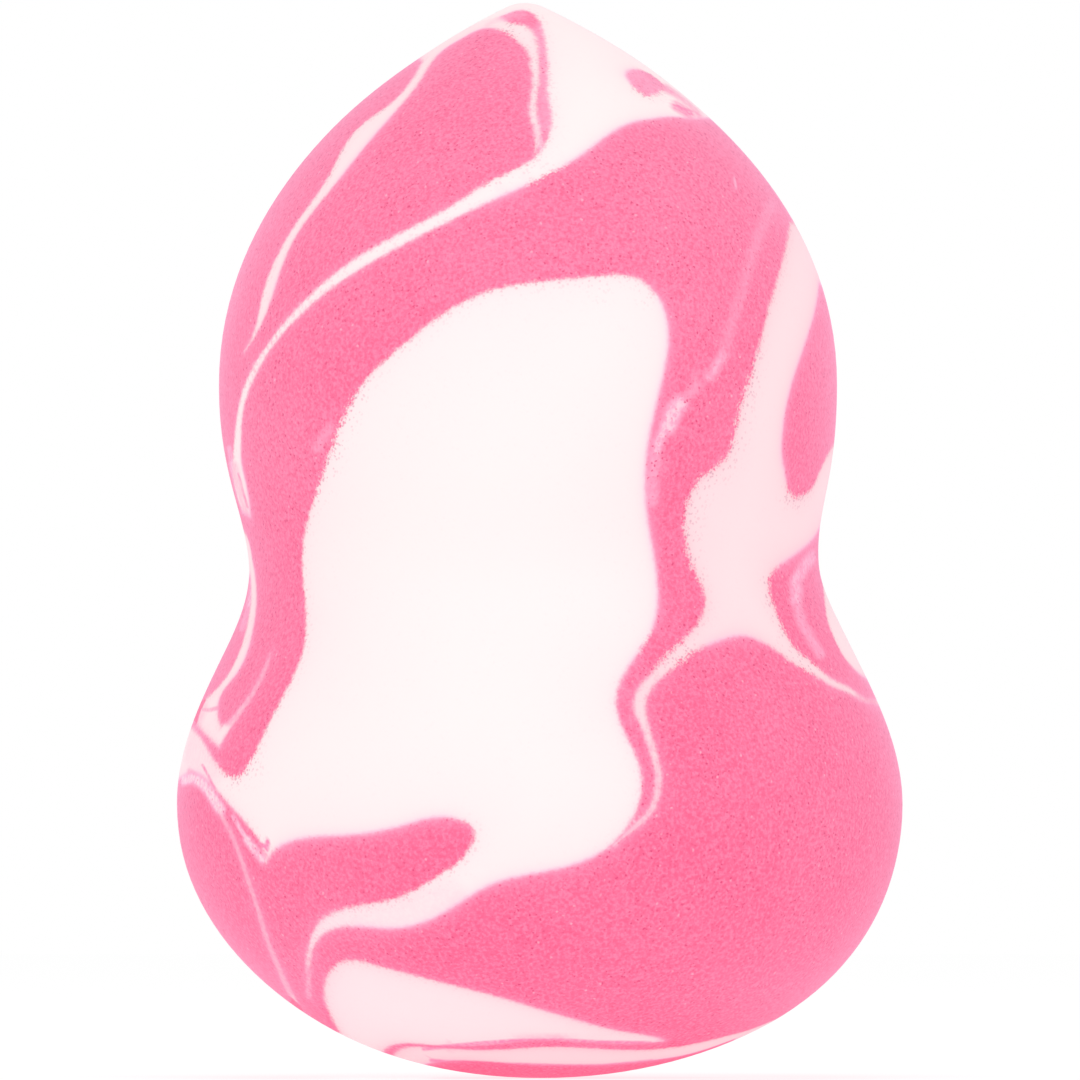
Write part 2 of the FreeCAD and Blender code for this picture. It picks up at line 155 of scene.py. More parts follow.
deselect()
bpy.ops.curve.primitive_bezier_curve_add(location=(0, 0, 0))
skin = bpy.context.object
skin.name = "skin"
spline = skin.data.splines[0]
points = outline_points()
spline.bezier_points.add(len(points) - len(spline.bezier_points))
for point, (before, middle, after) in zip(spline.bezier_points, points):
    point.handle_left_type = "FREE"
    point.handle_right_type = "FREE"
    for name, (r, z) in (("handle_left", before), ("co", middle), ("handle_right", after)):
        setattr(point, name, Vector((r, 0, z - STANDING_CUT)))
spline.resolution_u = ROWS_PER_STRETCH
skin.data.resolution_u = ROWS_PER_STRETCH
bpy.ops.object.convert(target="MESH")
skin = bpy.context.object
chain = np.array([v.co for v in skin.data.vertices])
profile_z, profile_r = chain[:, 2], chain[:, 0]
print("outline of", len(chain), "points, widest", round(2 * profile_r.max() / MM, 2), "mm")

# %% Spin the skin
bpy.ops.object.mode_set(mode="EDIT")
bpy.ops.mesh.select_all(action="SELECT")
bpy.ops.mesh.spin(steps=SPOKES, angle=2 * math.pi, center=(0, 0, 0), axis=(0, 0, 1))
bpy.ops.mesh.select_all(action="SELECT")
bpy.ops.mesh.remove_doubles(threshold=TINY)
bpy.ops.mesh.normals_make_consistent(inside=False)
bpy.ops.object.mode_set(mode="OBJECT")
print("skin", len(skin.data.vertices), "vertices", len(skin.data.polygons), "faces")

# %% [markdown]
# The foam is cast as one lump, so pink and white meet in lines that run right through the skin. To copy
# that, the skin has to know which way it faces at any height. The outline gives it: the direction across
# a curve is the direction along it, turned a quarter. With it a point can be tested for lying on the
# skin, and moved straight out of it.

# %% Where the skin lies
ON_SKIN = 0.03 * MM
SAME_WAY_SHARE = 0.5
along_r, along_z = np.gradient(profile_r), np.gradient(profile_z)
profile_out = along_z / np.hypot(along_r, along_z)
profile_up = -along_r / np.hypot(along_r, along_z)


def places_of(mesh):
    """The vertices of a mesh as rows of x, y and z."""
    flat = np.empty(3 * len(mesh.vertices))
    mesh.vertices.foreach_get("co", flat)
    return flat.reshape(-1, 3)


def skin_at(places):
    """How far each place is outside the skin, and which way the skin faces there."""
    radius = np.hypot(places[:, 0], places[:, 1])
    out = np.interp(places[:, 2], profile_z, profile_out)
    up = np.interp(places[:, 2], profile_z, profile_up)
    rise = (radius - np.interp(places[:, 2], profile_z, profile_r)) * out
    turn = places[:, :2] / np.maximum(radius, TINY)[:, None]
    facing = np.column_stack((turn[:, 0] * out, turn[:, 1] * out, up))
    return rise, facing / np.linalg.norm(facing, axis=1)[:, None]


def outer_faces(mesh):
    """Which faces of a mesh are part of the skin: their corners lie on it and they face the same way."""
    rise, facing = skin_at(places_of(mesh))
    on_skin = np.abs(rise) < ON_SKIN
    outer = []
    for face in mesh.polygons:
        along = float(face.normal @ Vector(facing[face.vertices[0]]))
        outer.append(all(on_skin[v] for v in face.vertices) and along > SAME_WAY_SHARE)
    return outer


up_at_ends = [round(float(profile_up[end]), 3) for end in (0, -1)]
print("the skin faces up by", up_at_ends[0], "below and", up_at_ends[1], "at the tip")

# %% [markdown]
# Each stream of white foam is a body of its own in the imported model, and its outline on the skin is the
# line that the eye sees. A mould maker would make a cutter of it, as a baker does for dough. So the body
# is copied, its loose triangles are merged into one closed shell, and its outer face is extruded out past
# the skin. The line round that face, the rim, stays where it is, and is kept too, because the colours
# change there.

# %% Cutters from the streams
PINK_NODES = ("pink_body", "crown_fleck")
STREAMS = [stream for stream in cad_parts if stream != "pink_body"]
PUSH_OUT = 1.5 * MM
RIM_STEP = 0.1 * MM


def copy_of_stream(stream):
    """A closed copy of a stream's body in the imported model."""
    piece = bpy.data.objects.new(stream + "_cutter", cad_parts[stream].data.copy())
    bpy.context.scene.collection.objects.link(piece)
    pick(piece)
    bpy.ops.object.mode_set(mode="EDIT")
    bpy.ops.mesh.select_all(action="SELECT")
    bpy.ops.mesh.remove_doubles(threshold=TINY)
    bpy.ops.object.mode_set(mode="OBJECT")
    return piece


def rim_of(mesh):
    """Samples along the rim of a body's outer face: the place, and the way out of the body on the skin."""
    outer = outer_faces(mesh)
    beside = {}
    for face, is_outer in zip(mesh.polygons, outer):
        for key in face.edge_keys:
            beside.setdefault(key, []).append((is_outer, face.center))
    places, ways = [], []
    for (a, b), faces in beside.items():
        inside = [centre for is_outer, centre in faces if is_outer]
        if len(inside) != 1:
            continue
        start, end = mesh.vertices[a].co, mesh.vertices[b].co
        middle = (start + end) / 2
        facing = Vector(skin_at(np.array([middle]))[1][0])
        way = facing.cross(end - start).normalized()
        if way.dot(middle - inside[0]) < 0:
            way.negate()
        count = max(1, math.ceil((end - start).length / RIM_STEP))
        for step in range(count):
            places.append(start.lerp(end, (step + MIDDLE_SHARE) / count))
            ways.append(way)
    return places, ways


def cutter_of(piece):
    """Turns a copy of a stream into its cutter: its outer face is extruded straight out of the skin."""
    outer = outer_faces(piece.data)
    pick(piece)
    bpy.ops.object.mode_set(mode="EDIT")
    bpy.ops.mesh.select_mode(type="FACE")
    bpy.ops.mesh.select_all(action="DESELECT")
    bpy.ops.object.mode_set(mode="OBJECT")
    piece.data.polygons.foreach_set("select", outer)
    bpy.ops.object.mode_set(mode="EDIT")
    bpy.ops.mesh.extrude_region()
    bpy.ops.object.mode_set(mode="OBJECT")
    flat = places_of(piece.data)
    moving = np.zeros(len(flat), dtype=bool)
    piece.data.vertices.foreach_get("select", moving)
    rise, facing = skin_at(flat)
    piece.data.vertices.foreach_set("co", (flat + facing * PUSH_OUT * moving[:, None]).ravel())
    piece.data.update()


cutters = {}
rims = {}
for stream in STREAMS:
    cutters[stream] = copy_of_stream(stream)
    rims[stream] = rim_of(cutters[stream].data)
    cutter_of(cutters[stream])
print(len(cutters), "cutters,", sum(len(places) for places, ways in rims.values()), "rim samples")

# %% [markdown]
# Where pink and white meet they don't meet in one way. On the upper left of each white stream the border
# is crisp but torn at the scale of the foam's pores, and on the lower right the pink fades out under a
# thin skin of white. So each sample of a rim is told which it is, from the way out of the white there:
# right and down is soft, left and up is torn. Neighbours are averaged, so that one style flows into the
# other. Where two white streams touch there is no border, and those samples are left out.

# %% Which borders are soft
TOUCHING = 0.04 * MM
STYLE_REACH = 1.2 * MM
SOFT_TURN = 0.35
SOFT_RIGHT_SHARE, SOFT_DOWN_SHARE = 0.8, 0.6


def style_of(place, way):
    """From 0, torn, to 1, soft, for a border at a place with this way out of the white."""
    right = Vector((-place.y, place.x, 0)).normalized()
    lean = SOFT_RIGHT_SHARE * way.dot(right) - SOFT_DOWN_SHARE * way.z
    return min(max(MIDDLE_SHARE + lean / (2 * SOFT_TURN), 0), 1)


border_places, border_styles, border_streams = [], [], []
for stream, (places, ways) in rims.items():
    for place, way in zip(places, ways):
        border_places.append(place)
        border_streams.append(stream)
        border_styles.append(style_of(place, -way if stream in PINK_NODES else way))
all_rims = KDTree(len(border_places))
for index, place in enumerate(border_places):
    all_rims.insert(place, index)
all_rims.balance()
kept = []
for index, place in enumerate(border_places):
    here = border_streams[index]
    others = {border_streams[i] for _, i, _ in all_rims.find_range(place, TOUCHING)} - {here}
    if here in PINK_NODES or not others - set(PINK_NODES):
        kept.append(index)
border = KDTree(len(kept))
for number, index in enumerate(kept):
    border.insert(border_places[index], number)
border.balance()
style = []
for index in kept:
    near = [i for _, i, _ in border.find_range(border_places[index], STYLE_REACH)]
    style.append(sum(border_styles[kept[i]] for i in near) / len(near))
mean_style = round(sum(style) / len(style), 2)
print(len(kept), "of", len(border_places), "samples are borders, soft on average", mean_style)

# %% [markdown]
# The pale smears in the pink are stains of white that didn't stay together, and the stains are the same
# the other way round, pink in the white. They have no edge of their own, so they are laid out as lines
# in the photograph's pixels, each with the points it runs through, a half width and a strength. Some
# parts of the borders are riddled with pores, and two thin veins fade out where they turn to the side,
# and these are lines too. A mark that the photograph shows at its very edge thins out just round the
# side. The sponge leans a little there, so a table says in which column its axis is in each row.

# %% Smears, stains and porous borders
SIDE_START, SIDE_END = -3.0 * MM, 1.5 * MM
GONE_SHARE = 1.5
AXIS_PX = (
    (20, 524.5), (40, 526.5), (60, 527), (100, 525.5), (180, 527), (260, 527.5), (420, 527.5),
    (460, 528.5), (500, 529.5), (540, 531.5), (590, 535.5), (620, 538.5), (750, 539), (860, 539.5),
    (920, 542), (960, 544), (1000, 545.5), (1040, 544.5), (1060, 540.5),
)
SMEARS_PX = (
    (((667, 426), (671, 414), (678, 404)), 8, 1.1),
    (((681, 402), (688, 394), (696, 386)), 5, 0.5),
    (((708, 377), (715, 367), (722, 355)), 5, 0.75),
    (((651, 500), (652, 475), (656, 450)), 6, 0.6),
    (((656, 450), (659, 438), (664, 428)), 5, 0.95),
    (((770, 206), (757, 238), (746, 270), (738, 300), (731, 322), (723, 348)), 6, 0.34),
    (((733.5, 178.5), (735, 188)), 1.3, 0.7),
    (((812, 556), (803, 566), (795, 580), (795, 600)), 6, 0.8),
    (((795, 600), (801, 622), (811, 640), (819, 653)), 5, 0.62),
    (((184, 779), (193, 777), (201, 781), (208, 788), (214, 797), (221, 808)), 5, 1.3),
    (((234, 815), (241, 827), (248, 838)), 2.2, 0.9),
    (((248, 838), (256, 849), (263, 858)), 4, 1.15),
    (((318, 448), (325, 436), (331, 428)), 5, 0.45),
    (((229, 448), (231, 462)), 3, 0.75),
    (((231, 464), (236, 486), (239, 497)), 5, 1.1),
    (((239, 497), (243, 512)), 3.5, 0.85),
    (((251, 570), (250, 590), (248, 604)), 3, 1.0),
    (((248, 604), (245, 618), (242, 628)), 3, 0.6),
    (((499, 18), (512, 14), (522, 14)), 5, 0.75),
    (((541, 30), (545, 60), (546, 90), (545, 110), (548, 130)), 7, 0.5),
    (((536, 120), (538, 134), (540, 148)), 4, 0.7),
    (((430, 44), (462, 28), (492, 16)), 4, 0.6),
    (((632, 76), (650, 90)), 13, 0.5),
)
STAINS_PX = (
    (((666, 87), (677, 93), (688, 101), (699, 112)), 5, 0.75),
    (((675, 106), (682, 110), (690, 114)), 4.5, 0.9),
    (((486, 24), (500, 18)), 3, 0.3),
    (((203, 764), (209, 775), (215, 787)), 1.4, 0.8),
    (((256, 838), (261, 843), (268, 844)), 2.2, 1.1),
    (((267.5, 847), (268.5, 840)), 2.5, 1.1),
    (((262, 847), (266, 857)), 5, 0.45),
    (((190, 770), (195, 774)), 3, 0.5),
    (((186, 747), (212, 768)), 13, 0.15),
    (((203, 709), (211, 709), (218, 707)), 2, 0.6),
    (((196, 722), (203, 706)), 5, 0.25),
    (((229.5, 720), (241, 706), (252, 690), (262, 672), (270, 654)), 5, 0.62),
    (((228, 820), (240, 848), (253, 878), (270, 942), (292, 990)), 6, 0.5),
    (((308.5, 966), (308.5, 1000)), 3, 0.65),
    (((320, 928), (345, 917), (400, 908), (450, 893)), 15, 0.12),
    (((858, 694), (874, 702)), 4, 0.45),
    (((238.3, 473), (241.5, 486), (244.5, 497), (247.5, 507)), 1.3, 0.75),
    (((233, 466), (237, 482), (241, 496), (246, 512)), 5, 0.4),
    (((424, 1047), (450, 1044), (480, 1041), (520, 1038), (560, 1037.5), (600, 1040), (650, 1041)), 2, 0.9),
    (((430, 1059), (450, 1061), (480, 1062.5), (520, 1063), (570, 1064.5), (600, 1064.5), (650, 1060)),
     2, 0.9),
)
FADES_PX = (
    (((201.5, 699), (193, 721)), 3, 1.0),
    (((289, 999), (303, 1012)), 3, 1.0),
)
POROUS_PX = (
    (((748, 372), (738, 420), (730, 462), (706, 488), (690, 520), (684, 580)), 20, 1.0),
    (((770, 585), (778, 605), (792, 635), (806, 660)), 18, 1.0),
    (((784, 498), (796, 500)), 12, 1.0),
    (((352, 405), (335, 440), (320, 480)), 20, 1.0),
    (((550, 190), (570, 190)), 20, 1.0),
    (((240, 770), (260, 770)), 18, 1.0),
    (((660, 650), (680, 650)), 18, 1.0),
    (((598, 300), (602, 300)), 13, 1.0),
    (((638, 300), (642, 300)), 10, 1.0),
    (((510, 30), (514, 30)), 10, 1.0),
    (((640, 90), (650, 94)), 9, 1.0),
)


def axis_columns(rows):
    """The columns of the sponge's axis in rows of the photograph, where it leans a little."""
    table = np.array(AXIS_PX)
    return np.interp(rows, table[:, 0], table[:, 1])


def pixels_of(places):
    """The columns and rows of the photograph at which places on the upright sponge are seen."""
    rows = BOTTOM_ROW_PX - (places[:, 2] + STANDING_CUT) / PIXEL
    return axis_columns(rows) + places[:, 0] / PIXEL, rows


def to_line(columns, rows, line):
    """The distance of each pixel from a line through points."""
    nearest = np.full(len(columns), np.inf)
    for (c0, r0), (c1, r1) in zip(line, line[1:]):
        length = (c1 - c0) ** 2 + (r1 - r0) ** 2
        share = np.clip(((columns - c0) * (c1 - c0) + (rows - r0) * (r1 - r0)) / length, 0, 1)
        away = np.hypot(columns - c0 - share * (c1 - c0), rows - r0 - share * (r1 - r0))
        nearest = np.minimum(nearest, away)
    return nearest


def left_of_mark(places):
    """How much of a mark is left at each place: all in front, less round the side, and nothing behind."""
    return np.clip((SIDE_END - places[:, 1]) / (SIDE_END - SIDE_START), 0, 1)


def line_strength(places, lines, left=1):
    """How strongly each place is stained by the nearest of some soft lines, of which so much is left."""
    columns, rows = pixels_of(places)
    strength = np.zeros(len(places))
    for line, half_width, most in lines:
        near = np.clip(GONE_SHARE * left - to_line(columns, rows, line) / half_width, 0, 1)
        strength = np.maximum(strength, near * most * left ** 2)
    return strength


print(len(SMEARS_PX), "smears,", len(STAINS_PX), "stains and", len(POROUS_PX), "porous borders")

# %% [markdown]
# A colour that changes over half a millimetre needs vertices closer together than that. Making the whole
# skin so fine would be a waste, so only its faces near a border, a smear or a stain are picked out in edit
# mode and subdivided, and those near the thinnest lines once more. The rest stays as the spin left it.

# %% Finer skin where the colours change
FINE_REACH = 0.4 * MM
FINE_CUTS = 2
COARSE_MARGIN_PX, FINE_MARGIN_PX = 2, 1
THIN_PX = 2.5


def near_lines(mesh, lines, margin):
    """Which faces of a mesh are in front and lie near one of some soft lines."""
    centres = np.array([face.center for face in mesh.polygons])
    columns, rows = pixels_of(centres)
    near = np.zeros(len(centres), dtype=bool)
    for line, half_width, _ in lines:
        near |= to_line(columns, rows, line) < GONE_SHARE * half_width + margin
    return near & (centres[:, 1] < SIDE_END)


def make_finer(piece, chosen):
    """Cuts the edges of the chosen faces of a piece into three."""
    pick(piece)
    bpy.ops.object.mode_set(mode="EDIT")
    bpy.ops.mesh.select_mode(type="FACE")
    bpy.ops.mesh.select_all(action="DESELECT")
    bpy.ops.object.mode_set(mode="OBJECT")
    piece.data.polygons.foreach_set("select", chosen)
    bpy.ops.object.mode_set(mode="EDIT")
    bpy.ops.mesh.subdivide(number_cuts=FINE_CUTS)
    bpy.ops.object.mode_set(mode="OBJECT")
    print(int(sum(chosen)), "faces made finer, the skin now has", len(piece.data.polygons))


near_border = np.array([border.find(face.center)[2] < FINE_REACH for face in skin.data.polygons])
make_finer(skin, near_border | near_lines(skin.data, SMEARS_PX + STAINS_PX, COARSE_MARGIN_PX))
thin_lines = [line for line in SMEARS_PX + STAINS_PX if line[1] < THIN_PX]
make_finer(skin, near_lines(skin.data, thin_lines, FINE_MARGIN_PX))

# %% [markdown]
# Now the cutting. A Boolean modifier that intersects the skin with a cutter leaves that stream's foam.
# For the pink the cutters are first made one, which is quick because they are small, and then taken away
# in one go. The pieces meet along exactly the same line, because the same cutters made both.

# %% Cut the foam into its pieces
PIECE_NAMES = {stream: stream + "_foam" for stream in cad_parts}


def cut(piece, cutter, operation):
    """Applies one Boolean to a piece."""
    pick(piece)
    modifier = piece.modifiers.new("cut", "BOOLEAN")
    modifier.operation = operation
    modifier.solver = "MANIFOLD"
    modifier.object = cutter
    bpy.ops.object.modifier_apply(modifier=modifier.name)


def copy_of_skin(name):
    """A copy of the whole skin, with its own mesh."""
    piece = bpy.data.objects.new(name, skin.data.copy())
    bpy.context.scene.collection.objects.link(piece)
    return piece


foam = {}
for stream in STREAMS:
    foam[stream] = copy_of_skin(PIECE_NAMES[stream])
    cut(foam[stream], cutters[stream], "INTERSECT")
foam["pink_body"] = skin
skin.name = PIECE_NAMES["pink_body"]
for stream in STREAMS[1:]:
    cut(cutters[STREAMS[0]], cutters[stream], "UNION")
cut(skin, cutters[STREAMS[0]], "DIFFERENCE")
for cutter in cutters.values():
    bpy.data.objects.remove(cutter)
for name, piece in foam.items():
    solid = bmesh.new()
    solid.from_mesh(piece.data)
    volume = round(solid.calc_volume() / MM ** 3, 1)
    open_edges = sum(not edge.is_manifold for edge in solid.edges)
    print(name, len(piece.data.polygons), "faces", volume, "mm3, open edges", open_edges)
    solid.free()

# %% [markdown]
# Every vertex is now told what the materials have to know about its place. "border" is the distance to
# the nearest border in millimetres, more than nothing in the white and less in the pink. "soft" is that
# border's style, "tint" says how pink that stream's white is, and "porous", "smear" and "stain" come
# from the lists. The same numbers stand on both sides of a border, so a pattern runs across it without a
# break. Where a vein fades out, "border" is moved into the pink on both sides.

# %% What each vertex knows
BORDER_REACH = 12 * MM
FADE_MM = 1.0
STREAM_TINTS = {
    "crown_patch": -0.1, "front_patch": 0.15, "right_stream": 0.95, "shoulder_stream": 0.5,
    "left_hook": 0.5, "left_thread": 1.2, "base_wedge": 0.8, "base_rim": 1.2, "crown_fleck": -0.1,
}
BACK_TINT = 0.6
tints = [STREAM_TINTS.get(border_streams[index], BACK_TINT) for index in kept]


def teach(piece, is_white):
    """Gives a piece its vertex attributes."""
    flat = places_of(piece.data)
    left = left_of_mark(flat)
    faded = line_strength(flat, FADES_PX) * (left > 0)
    porous = line_strength(flat, POROUS_PX, left)
    found = [border.find(place) for place in flat]
    away = np.array([min(distance, BORDER_REACH) for _, _, distance in found]) / MM
    values = {
        "border": (away if is_white else -away) * (1 - faded) - FADE_MM * faded,
        "soft": np.array([style[number] for _, number, _ in found]) * (1 - porous),
        "tint": np.array([tints[number] for _, number, _ in found]),
        "porous": porous,
        "smear": line_strength(flat, SMEARS_PX, left),
        "stain": line_strength(flat, STAINS_PX, left),
    }
    for name, numbers in values.items():
        attribute = piece.data.attributes.new(name, "FLOAT", "POINT")
        attribute.data.foreach_set("value", numbers.astype(np.float32))


for name, piece in foam.items():
    teach(piece, name not in PINK_NODES)
print("taught", sum(len(piece.data.vertices) for piece in foam.values()), "vertices")

# %% [markdown]
# Smooth shading averages the faces round a vertex, and along a cut that would take in the cut face and
# show every seam. The skin's true direction is known, so it is written onto the outer faces' corners as
# custom normals. The sponge also leans and bows a little in the photograph: each height is moved sideways
# by as much as the axis is, and the normals turn with it.

# %% True normals and the lean
LEAN_ROWS_PX = 24
LEAN_STEPS = 9


def lean_at(heights):
    """How far right the sponge's axis is at each height, smoothed over a few rows, and the slope of that."""
    rows = BOTTOM_ROW_PX - (heights + STANDING_CUT) / PIXEL
    steps = np.linspace(-LEAN_ROWS_PX, LEAN_ROWS_PX, LEAN_STEPS)
    aside = np.mean([axis_columns(rows + step) for step in steps], axis=0) - AXIS_COLUMN_PX
    below = np.mean([axis_columns(rows + step + 1) for step in steps], axis=0) - AXIS_COLUMN_PX
    return aside * PIXEL, aside - below


def finish_shape(piece):
    """Leans a piece and gives its outer faces the skin's own normals."""
    outer = outer_faces(piece.data)
    flat = places_of(piece.data)
    rise, facing = skin_at(flat)
    aside, slope = lean_at(flat[:, 2])
    still = np.zeros(len(slope))
    turned = facing - np.column_stack((still, still, slope * facing[:, 0]))
    turned /= np.linalg.norm(turned, axis=1)[:, None]
    flat[:, 0] += aside
    piece.data.vertices.foreach_set("co", flat.ravel())
    piece.data.polygons.foreach_set("use_smooth", outer)
    piece.data.update()
    corner_normals = [(0, 0, 0)] * len(piece.data.loops)
    for face, is_outer in zip(piece.data.polygons, outer):
        if is_outer:
            for corner in face.loop_indices:
                corner_normals[corner] = turned[piece.data.loops[corner].vertex_index]
    piece.data.normals_split_custom_set(corner_normals)


for piece in foam.values():
    finish_shape(piece)
tip_lean = lean_at(np.array([FREE_LENGTH - STANDING_CUT]))[0][0]
print("the tip leans", round(float(tip_lean) / MM, 2), "mm")

# %% [markdown]
# A node tree in code is long unless its steps have short names. These helpers add one node each: a value
# given to them is set on the socket, and a socket given to them is linked. Colours are written as a
# picture editor shows them, from 0 to 255, and turned into the linear numbers that the shader wants.

# %% Helpers for node trees
TOP_LEVEL = 255
DARK_END, DARK_SLOPE = 0.04045, 12.92
CURVE_SHIFT, CURVE_POWER = 0.055, 2.4
MIX_SHARE, MIX_FIRST, MIX_SECOND, MIX_RESULT = 0, 6, 7, 2


def linear(level):
    """One level of a picture editor as a linear number: the sRGB curve."""
    part = level / TOP_LEVEL
    if part <= DARK_END:
        return part / DARK_SLOPE
    return ((part + CURVE_SHIFT) / (1 + CURVE_SHIFT)) ** CURVE_POWER


def colour(red, green, blue):
    """A colour of a picture editor as linear numbers."""
    return (linear(red), linear(green), linear(blue), 1)


def feed(tree, socket, value):
    """Sets a socket to a value, or links it to another socket."""
    if isinstance(value, bpy.types.NodeSocket):
        tree.links.new(value, socket)
    else:
        socket.default_value = value


def node(tree, kind, inputs=(), **settings):
    """Adds a node, sets it up and feeds its inputs."""
    made = tree.nodes.new("ShaderNode" + kind)
    for name, value in settings.items():
        setattr(made, name, value)
    for name, value in inputs:
        feed(tree, made.inputs[name], value)
    return made


def calc(tree, operation, *values):
    """The result of one Math node."""
    return node(tree, "Math", list(enumerate(values)), operation=operation).outputs[0]


def ramp(tree, value, low, high, to_low=0.0, to_high=1.0):
    """A value eased from one range into another, and held inside it."""
    span = [("From Min", low), ("From Max", high), ("To Min", to_low), ("To Max", to_high)]
    made = node(tree, "MapRange", [("Value", value), *span], interpolation_type="SMOOTHSTEP")
    return made.outputs["Result"]


def blend(tree, share, first, second):
    """The first colour turned into the second by a share."""
    made = node(tree, "Mix", data_type="RGBA", clamp_factor=True)
    feed(tree, made.inputs[MIX_SHARE], share)
    feed(tree, made.inputs[MIX_FIRST], first)
    feed(tree, made.inputs[MIX_SECOND], second)
    return made.outputs[MIX_RESULT]


def layer(tree, mask, strength, under, over):
    """One colour laid over another by a mask times a strength."""
    return blend(tree, calc(tree, "MULTIPLY", mask, strength), under, over)


def falling(tree, distance, rate):
    """One at no distance and falling off with it, by a rate below nothing."""
    return calc(tree, "EXPONENT", calc(tree, "MULTIPLY", distance, rate))


def noise(tree, vector, size, detail=0.0):
    """Even noise from 0 to 1 whose blobs are about this size."""
    inputs = [("Vector", vector), ("Scale", 1 / size), ("Detail", detail)]
    return node(tree, "TexNoise", inputs).outputs["Fac"]


def dots(tree, vector, cell, radius_share, edge_share):
    """Round dots, one for each cell of this size, cut at random depths by the skin."""
    inputs = [("Vector", vector), ("Scale", 1 / cell)]
    distance = node(tree, "TexVoronoi", inputs).outputs["Distance"]
    return ramp(tree, distance, radius_share + edge_share, radius_share)


def known(tree, name):
    """One of the numbers that the vertices know."""
    return node(tree, "Attribute", attribute_name=name).outputs["Fac"]


def new_group(name, outputs):
    """A node group that takes a place, as Object coordinates, and puts out the named sockets."""
    group = bpy.data.node_groups.new(name, "ShaderNodeTree")
    group.interface.new_socket("Place", in_out="INPUT", socket_type="NodeSocketVector")
    for label, kind in outputs:
        group.interface.new_socket(label, in_out="OUTPUT", socket_type="NodeSocket" + kind)
    place = group.nodes.new("NodeGroupInput").outputs["Place"]
    return group, place, group.nodes.new("NodeGroupOutput")


print("helpers ready")

# %% [markdown]
# Close up the foam is a fine sponge: dark pores a tenth of a millimetre wide, a few pale glints, which are
# painted highlights where a cell wall catches the light, and a mottle at the size of the cells. All of that
# is one group, which both foams use. Voronoi noise gives the pores, because its cells are spread as foam
# cells are.
# A noise is named with its size and detail, dots with their cell and the shares of it that are dot and soft
# edge, and a ramp with the two ends it eases from and the two it eases to.

# %% Group: foam texture
UNEVEN = (0.2 * MM, 0.1 * MM)
PATCH_NOISE, PORE_PATCHES = (2.2 * MM, 1.0), (0.35, 0.65, 0.35, 1.0)
COARSE_PORES, FINE_PORES = (0.36 * MM, 0.12, 0.14), (0.24 * MM, 0.10, 0.20)
FINE_PORE_SHARE = 0.5
GLINT_DOTS = (0.9 * MM, 0.02, 0.1)
MOTTLE_NOISE, MOTTLE_HEIGHT_SHARE = (0.2 * MM, 1.5), 0.6


def warped(tree, vector, size, reach):
    """A place pushed about by noise, so that round dots become the uneven shapes of torn cells."""
    inputs = [("Vector", vector), ("Scale", 1 / size)]
    push = node(tree, "VectorMath", operation="MULTIPLY_ADD")
    feed(tree, push.inputs[0], node(tree, "TexNoise", inputs).outputs["Color"])
    feed(tree, push.inputs[1], (2 * reach, 2 * reach, 2 * reach))
    feed(tree, push.inputs[2], vector)
    return push.outputs["Vector"]


pores_group, place, out = new_group(
    "foam texture", [("Pores", "Float"), ("Painted glints", "Float"), ("Mottle", "Float"), ("Height", "Float")]
)
uneven = warped(pores_group, place, *UNEVEN)
patches = ramp(pores_group, noise(pores_group, place, *PATCH_NOISE), *PORE_PATCHES)
coarse = dots(pores_group, uneven, *COARSE_PORES)
fine = calc(pores_group, "MULTIPLY", dots(pores_group, uneven, *FINE_PORES), FINE_PORE_SHARE)
pores = calc(pores_group, "MULTIPLY", calc(pores_group, "MAXIMUM", coarse, fine), patches)
# Painted highlights: pale dots where a cell wall would catch the light.
painted_glints = dots(pores_group, uneven, *GLINT_DOTS)
mottle = noise(pores_group, uneven, *MOTTLE_NOISE)
height = calc(pores_group, "SUBTRACT", calc(pores_group, "MULTIPLY", mottle, MOTTLE_HEIGHT_SHARE), pores)
for label, value in (("Pores", pores), ("Painted glints", painted_glints), ("Mottle", mottle), ("Height", height)):
    feed(pores_group, out.inputs[label], value)
print("group", pores_group.name)

# %% [markdown]
# The border itself is where the number "border" goes through nothing. Noise is added to it first, more
# where the border is torn and porous and less where it is soft, and then it is eased from pink to white.
# The fringe is how near a soft border is, on both of its sides.

# %% Group: marbling
BORDER_HALF_WIDTH_MM = 0.2
WIDE_NOISE, FINE_NOISE = (0.34 * MM, 1.0), (0.12 * MM, 1.0)
WIDE_LEAST_MM, WIDE_TORN_MM, WIDE_POROUS_MM = 0.05, 0.14, 0.12
FINE_LEAST_MM, FINE_TORN_MM, FINE_POROUS_MM = 0.03, 0.12, 0.3
FRINGE_RATE, PIT_RATE, POROUS_PIT_RATE = -3.2, -3.6, 2.4
PIT_DOTS = (0.26 * MM, 0.22, 0.16)

marble_group, place, out = new_group(
    "marbling", [("White", "Float"), ("Fringe", "Float"), ("Torn pores", "Float")]
)
border_mm = known(marble_group, "border")
soft = known(marble_group, "soft")
porous = known(marble_group, "porous")
torn = calc(marble_group, "SUBTRACT", 1.0, soft)
wide_wobble = calc(marble_group, "MULTIPLY_ADD", noise(marble_group, place, *WIDE_NOISE), 2.0, -1.0)
fine_wobble = calc(marble_group, "MULTIPLY_ADD", noise(marble_group, place, *FINE_NOISE), 2.0, -1.0)
wide_reach = calc(marble_group, "MULTIPLY_ADD", torn, WIDE_TORN_MM, WIDE_LEAST_MM)
wide_reach = calc(marble_group, "MULTIPLY_ADD", porous, WIDE_POROUS_MM, wide_reach)
fine_reach = calc(marble_group, "MULTIPLY_ADD", torn, FINE_TORN_MM, FINE_LEAST_MM)
fine_reach = calc(marble_group, "MULTIPLY_ADD", porous, FINE_POROUS_MM, fine_reach)
moved = calc(marble_group, "MULTIPLY_ADD", wide_wobble, wide_reach, border_mm)
moved = calc(marble_group, "MULTIPLY_ADD", fine_wobble, fine_reach, moved)
